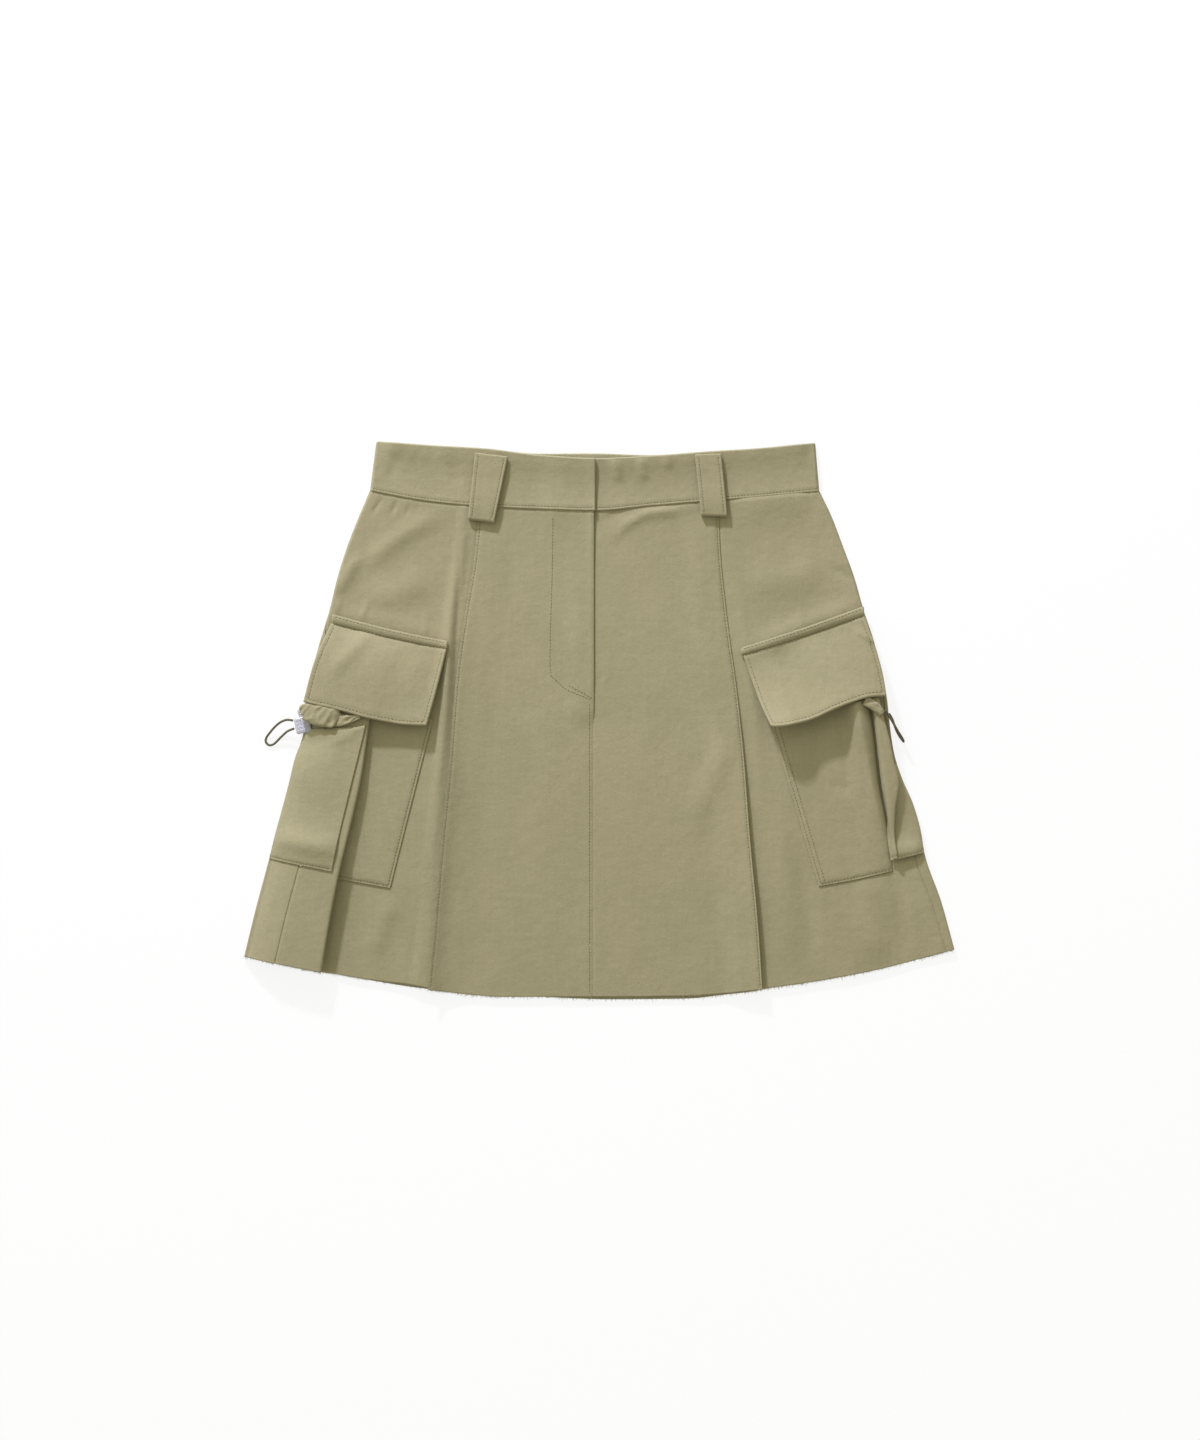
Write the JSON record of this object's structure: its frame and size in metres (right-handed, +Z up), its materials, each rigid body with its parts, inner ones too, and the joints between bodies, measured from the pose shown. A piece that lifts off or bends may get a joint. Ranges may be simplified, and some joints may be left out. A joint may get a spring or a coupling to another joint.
{
  "type": "cargo utility skirt",
  "caption": "Short flared cotton twill skirt laid flat, with a fly front, belt loops, flapped cargo pockets at the sides, drawcord casings and a raw frayed hem.",
  "frame": {"origin": "middle of the laid skirt's footprint, on the surface it lies on", "axes": "+Z up from the surface, +Y towards the waistband, +X towards the wearer's left, which is the right of the laid front"},
  "size_m": [0.5432, 0.4269, 0.0204],
  "materials": {
    "twill": "matte washed cotton twill, khaki green",
    "elastic_cord": "braided elastic cord, dark olive brown",
    "clear_plastic": "clear moulded plastic, faintly frosted"
  },
  "bodies": {
    "root": {"back": "twill", "front_side_left": "twill", "front_side_right": "twill", "front_centre_left": "twill", "front_centre_right": "twill", "waistband_back": "twill", "waistband_front_left": "twill", "waistband_front_right": "twill", "flap_left": "twill", "flap_right": "twill", "pocket_outer_left": "twill", "pocket_front_left": "twill", "pocket_front_right": "twill", "pocket_gusset_right": "twill", "pocket_outer_right": "twill", "casing_left": "twill", "casing_right": "twill", "belt_loop_left": "twill", "belt_loop_right": "twill", "flap_strip_left": "twill", "flap_strip_right": "twill", "cord_lock_body": "clear_plastic", "cord_lock_plunger": "clear_plastic", "cord_loop_left": "elastic_cord", "cord_loop_right": "elastic_cord"}
  },
  "joints": []
}
